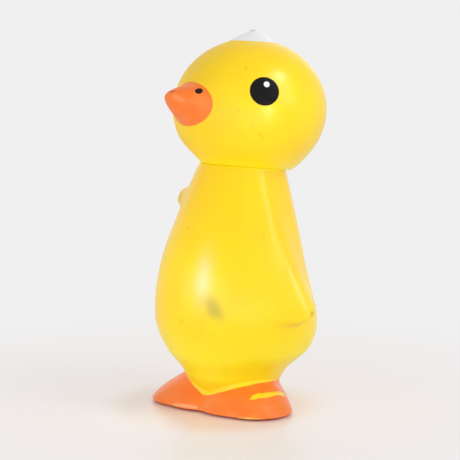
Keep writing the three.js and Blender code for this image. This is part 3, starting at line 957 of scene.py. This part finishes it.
def vinyl_ground(paint, low, high):
    """Yellow vinyl with faint clouds of colour and fine specks of dust, paler low down as painted light from
    below and deeper high up as painted shade.
    """
    clouds = paint.ramp(paint.noise(CLOUD_SIZE, COARSE), *CLOUD_SPREAD)
    paint.colour = paint.mix(clouds, YELLOW, YELLOW_WARM)
    # Painted light low down and painted shade high up
    paint.wash("height", low, YELLOW_PAINTED_LIGHT)
    paint.wash("height", high, YELLOW_PAINTED_SHADE)
    paint.layer(paint.ramp(paint.noise(DUST_SIZE, COARSE), *DUST_SPREAD), DUST)


def vinyl_finish(paint, dull=None):
    """Semi-gloss finish with a fine grain, duller where a mask is 1."""
    roughness = paint.ramp(paint.noise(SHEEN_SIZE, FINE), *SHEEN_SPREAD)
    if dull is not None:
        roughness = paint.math("ADD", roughness, paint.math("MULTIPLY", dull, DULLER))
    paint.bump(paint.noise(GRAIN_SIZE, COARSE), GRAIN_STRENGTH, GRAIN_DEPTH)
    return paint.finish(roughness)


def orange_paint(paint, mask):
    """Orange with faint clouds, where the mask is 1."""
    clouds = paint.ramp(paint.noise(TINT_SIZE, FINE), *CLOUD_SPREAD)
    paint.layer(mask, paint.mix(clouds, ORANGE, ORANGE_PALE))


def head_material():
    paint = Paint("head_vinyl_paint")
    vinyl_ground(paint, HEAD_PAINTED_LIGHT_LOW, HEAD_PAINTED_SHADE_HIGH)
    # Painted light: paler yellow on the head just above the seam
    paint.wash("seam", HEAD_SEAM_PAINTED_LIGHT, YELLOW_PAINTED_LIGHT)
    paint.wash("marks", HEAD_SPECKS, SPECK)
    orange_paint(paint, paint.inside(paint.field("beak_edge"), *BEAK_EDGE))
    # Painted highlight along the ridge of the beak
    paint.wash("beak_painted_highlight", BEAK_PAINTED_HIGHLIGHT_WASH, PEACH_HIGHLIGHT)
    paint.wash("beak_dirt", BEAK_DIRT_WASH, RUST)
    nostril = paint.inside(paint.field("nostril_edge"), *NOSTRIL_EDGE)
    paint.layer(nostril, BLACK)
    paint.layer(paint.inside(paint.field("crown_edge"), *CROWN_EDGE), WHITE)
    tip = paint.inside(paint.field("crown_tip"), *CROWN_TIP_EDGE)
    paint.layer(paint.math("MULTIPLY", tip, CROWN_TIP_GREY), GREY_GREEN)
    # Painted shade down the crown's left slope
    paint.wash("crown_shade", CROWN_SHADE_WASH, GREY_GREEN)
    eye = paint.inside(paint.field("eye_edge"), *EYE_EDGE)
    paint.layer(eye, BLACK)
    shine = paint.mix(paint.math("MAXIMUM", eye, nostril), FULL_SHINE, HALF_SHINE)
    paint.link(shine, paint.shader.inputs["Specular Tint"])
    glint = paint.field("glint_edge")
    paint.layer(paint.inside(glint, *GLINT_EDGE), GLINT)
    middle = paint.inside(paint.math("ADD", glint, GLINT_RADIUS - GLINT_SPECK_RADIUS), GLINT_SPECK_SOFT)
    paint.layer(paint.math("MULTIPLY", middle, GLINT_SPECK_SHARE), GLINT_SPECK)
    return vinyl_finish(paint, paint.ramp(paint.field("turned"), *FACE_DULLNESS))


def body_material():
    paint = Paint("body_vinyl_paint")
    vinyl_ground(paint, BODY_PAINTED_LIGHT_LOW, BODY_PAINTED_SHADE_HIGH)
    # Painted shade at the ankle crease, just above the feet
    paint.wash("height", ANKLE_PAINTED_SHADE, YELLOW_WARM)
    # Painted light: paler yellow on the neck just below the seam
    paint.wash("seam", BODY_SEAM_PAINTED_LIGHT, YELLOW_PAINTED_LIGHT)
    paint.wash("marks", BODY_SPECKS, SPECK)
    # Painted shade: the knob darkened
    paint.wash("knob", KNOB_PAINTED_SHADE, DIRT_AND_SHADE)
    # Painted shade in the crease under the wing and under the head's rim
    paint.wash("crease", CREASE_SHADE_WASH, CREASE_SHADE)
    patches = paint.noise(BLOTCH_SIZE, FINE)
    # Painted highlight: a pale cream patch on the belly
    belly_highlight = paint.math("MULTIPLY", paint.field("belly_highlight"), paint.ramp(patches, *BELLY_HIGHLIGHT_SPREAD))
    paint.layer(belly_highlight, BELLY_HIGHLIGHT_COLOUR)
    stain = paint.math("MULTIPLY", paint.field("stain"), paint.ramp(patches, *STAIN_SPREAD))
    paint.layer(paint.ramp(stain, *STAIN_WASH), STAIN)
    paint.wash("wing_tip", WING_TIP_WASH, DIRT_AND_SHADE)
    foot = paint.inside(paint.field("foot_edge"), *FOOT_EDGE)
    worn = paint.inside(paint.field("patch"), *PATCH_EDGE)
    orange_paint(paint, paint.math("MULTIPLY", foot, paint.math("SUBTRACT", 1, worn)))
    thin = paint.ramp(paint.noise(WORN_SIZE, FINE), *WORN_SPREAD)
    paint.layer(paint.math("MULTIPLY", worn, thin), RUBBED)
    rubbed = paint.inside(paint.field("edge_rub"), *RUBBED_EDGE)
    paint.layer(paint.math("MULTIPLY", rubbed, RUBBED_SHARE), RUBBED)
    # Painted highlight along the far foot's lower edge
    paint.wash("edge_painted_highlight", EDGE_PAINTED_HIGHLIGHT_WASH, PEACH_HIGHLIGHT)
    return vinyl_finish(paint)


# Stage, light and camera

# Floor and softboxes in metres, the camera and the places aimed at in millimetres
FLOOR_RADIUS = 8
FLOOR_SIDES = 96
FLOOR_DROP = 0.00005
FLOOR_ROUGHNESS = 0.3
FLOOR_CENTRE = (-0.004, -0.013, 0)
FLOOR_CONTACT = (0.036, 0.056)
FLOOR_NEAR = (0.05, 0.24)
FLOOR_NEAR_GLOW = 0.5
BACKDROP = linear(240, 240, 240)
FLOOR_COLOUR = linear(247, 238, 238)
FLOOR_PALE = linear(249, 243, 239)
AMBIENT = 0.8
AMBIENT_OVERHEAD = 0.6
CEILING_RISE = (0.1, 0.8)
SOFTBOXES = [
    # place aimed at, azimuth from straight ahead, rise, distance, width, height, power, spread of the beam
    ("right_box", (0, 0, 85), 98, 33, 1.0, 0.3, 0.7, 2.05, 180),
    ("front_fill", (0, 0, 85), -6, 1, 1.2, 1.8, 0.5, 5.35, 180),
    ("back_fill", (0, 0, 85), 225, 25, 1.2, 1.6, 0.8, 1.8, 180),
    ("low_card", (0, 0, 85), 48, -10, 0.42, 0.4, 0.12, 0.32, 180),
    ("belly_spot", (8, -36, 60), -8, 9, 0.15, 0.032, 0.055, 0.0063, 60),
    ("head_spot", (26.5, -5.5, 146.5), 108.5, 53, 0.16, 0.042, 0.038, 0.0075, 60),
    ("cheek_spot", (25.7, -15, 132), 64.5, 3.5, 0.16, 0.025, 0.025, 0.0023, 40),
    ("wing_spot", (36, -7, 57), 122, 10, 0.16, 0.035, 0.06, 0.0028, 40),
]

CAMERA_AZIMUTH = math.radians(38)
CAMERA_DISTANCE = 780
CAMERA_HEIGHT = 190
AIM_HEIGHT = 83.5
AIM_PIXEL = (240, 217)
FRAME_PIXELS = 460
FOCAL_PIXELS = 1775
SENSOR = 36


def to_viewer(nodes):
    """1 for rays that show a surface to the viewer directly, in a reflection or through glass."""
    path = nodes.tree.nodes.new("ShaderNodeLightPath")
    seen = path.outputs["Is Camera Ray"]
    for name in ("Is Glossy Ray", "Is Transmission Ray"):
        seen = nodes.math("MAXIMUM", seen, path.outputs[name])
    return seen


def make_floor():
    """Pale floor with its shadow near the feet, which fades to the plain backdrop further away."""
    bpy.ops.mesh.primitive_circle_add(vertices=FLOOR_SIDES, radius=FLOOR_RADIUS, fill_type="NGON")
    floor = bpy.context.object
    floor.name = "floor"
    floor.location.z = -FLOOR_DROP
    material = bpy.data.materials.new("pale_floor")
    material.use_nodes = True
    nodes = Nodes(material.node_tree)
    nodes.tree.nodes.clear()
    output = nodes.tree.nodes.new("ShaderNodeOutputMaterial")
    card = nodes.tree.nodes.new("ShaderNodeBsdfPrincipled")
    card.inputs["Base Color"].default_value = FLOOR_COLOUR
    card.inputs["Roughness"].default_value = FLOOR_ROUGHNESS
    place = nodes.tree.nodes.new("ShaderNodeTexCoord")
    distance = nodes.tree.nodes.new("ShaderNodeVectorMath")
    distance.operation = "DISTANCE"
    nodes.link(place.outputs["Object"], distance.inputs[0])
    nodes.link(FLOOR_CENTRE, distance.inputs[1])
    away = distance.outputs["Value"]
    near = nodes.ramp(away, *FLOOR_CONTACT, 0, FLOOR_NEAR_GLOW)
    far = nodes.ramp(away, *FLOOR_NEAR, 0, 1 - FLOOR_NEAR_GLOW)
    plain = nodes.math("ADD", near, far)
    glow = nodes.tree.nodes.new("ShaderNodeEmission")
    nodes.link(nodes.mix(plain, FLOOR_PALE, BACKDROP), glow.inputs["Color"])
    mix = nodes.tree.nodes.new("ShaderNodeMixShader")
    nodes.link(nodes.math("MULTIPLY", to_viewer(nodes), plain), mix.inputs["Fac"])
    nodes.link(card.outputs[0], mix.inputs[1])
    nodes.link(glow.outputs[0], mix.inputs[2])
    nodes.link(mix.outputs[0], output.inputs["Surface"])
    floor.data.materials.append(material)


def make_world():
    """Pale surroundings, dimmer overhead than round about, and plain where the viewer sees them."""
    world = bpy.data.worlds.new("studio")
    bpy.context.scene.world = world
    world.use_nodes = True
    nodes = Nodes(world.node_tree)
    background = nodes.tree.nodes["Background"]
    background.inputs["Color"].default_value = BACKDROP
    place = nodes.tree.nodes.new("ShaderNodeTexCoord")
    split = nodes.tree.nodes.new("ShaderNodeSeparateXYZ")
    nodes.link(place.outputs["Generated"], split.inputs[0])
    rise = split.outputs["Z"]
    strength = nodes.tree.nodes.new("ShaderNodeMapRange")
    nodes.link(to_viewer(nodes), strength.inputs["Value"])
    nodes.link(nodes.ramp(rise, 0, 1, AMBIENT, AMBIENT_OVERHEAD), strength.inputs["To Min"])
    nodes.link(nodes.ramp(rise, *CEILING_RISE, 1, AMBIENT_OVERHEAD), strength.inputs["To Max"])
    nodes.link(strength.outputs["Result"], background.inputs["Strength"])


def make_softboxes():
    for name, aim, azimuth, rise, distance, width, height, power, spread in SOFTBOXES:
        light = bpy.data.lights.new(name, "AREA")
        light.shape = "RECTANGLE"
        light.size = width
        light.size_y = height
        light.energy = power
        light.spread = math.radians(spread)
        lamp = bpy.data.objects.new(name, light)
        bpy.context.scene.collection.objects.link(lamp)
        away = Vector(direction_at(math.radians(azimuth), math.radians(rise)).tolist())
        lamp.location = Vector(aim) * MM + away * distance
        lamp.visible_camera = False
        lamp.rotation_euler = away.to_track_quat("Z", "Y").to_euler()


def make_camera():
    """Camera of the photo, without roll, that shows the aimed height of the axis at its pixel."""
    data = bpy.data.cameras.new("camera")
    data.sensor_width = SENSOR
    data.lens = FOCAL_PIXELS / FRAME_PIXELS * SENSOR
    camera = bpy.data.objects.new("camera", data)
    bpy.context.scene.collection.objects.link(camera)
    eye = Vector((math.sin(CAMERA_AZIMUTH), -math.cos(CAMERA_AZIMUTH), 0)) * CAMERA_DISTANCE
    eye.z = CAMERA_HEIGHT
    look = (Vector((0, 0, AIM_HEIGHT)) - eye).normalized()
    heading = math.atan2(look.y, look.x) + math.atan((AIM_PIXEL[0] - FRAME_PIXELS / 2) / FOCAL_PIXELS)
    climb = math.asin(look.z) + math.atan((AIM_PIXEL[1] - FRAME_PIXELS / 2) / FOCAL_PIXELS)
    camera.location = eye * MM
    camera.rotation_euler = (math.pi / 2 + climb, 0, heading - math.pi / 2)
    bpy.context.scene.camera = camera


head = make_head()
head.data.materials.append(head_material())
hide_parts("head_shell")
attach(head, "head")

body = make_body()
body.data.materials.append(body_material())
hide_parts("body_shell")
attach(body, "body")

make_floor()
make_world()
make_softboxes()
make_camera()
bpy.context.scene.view_settings.view_transform = "Standard"
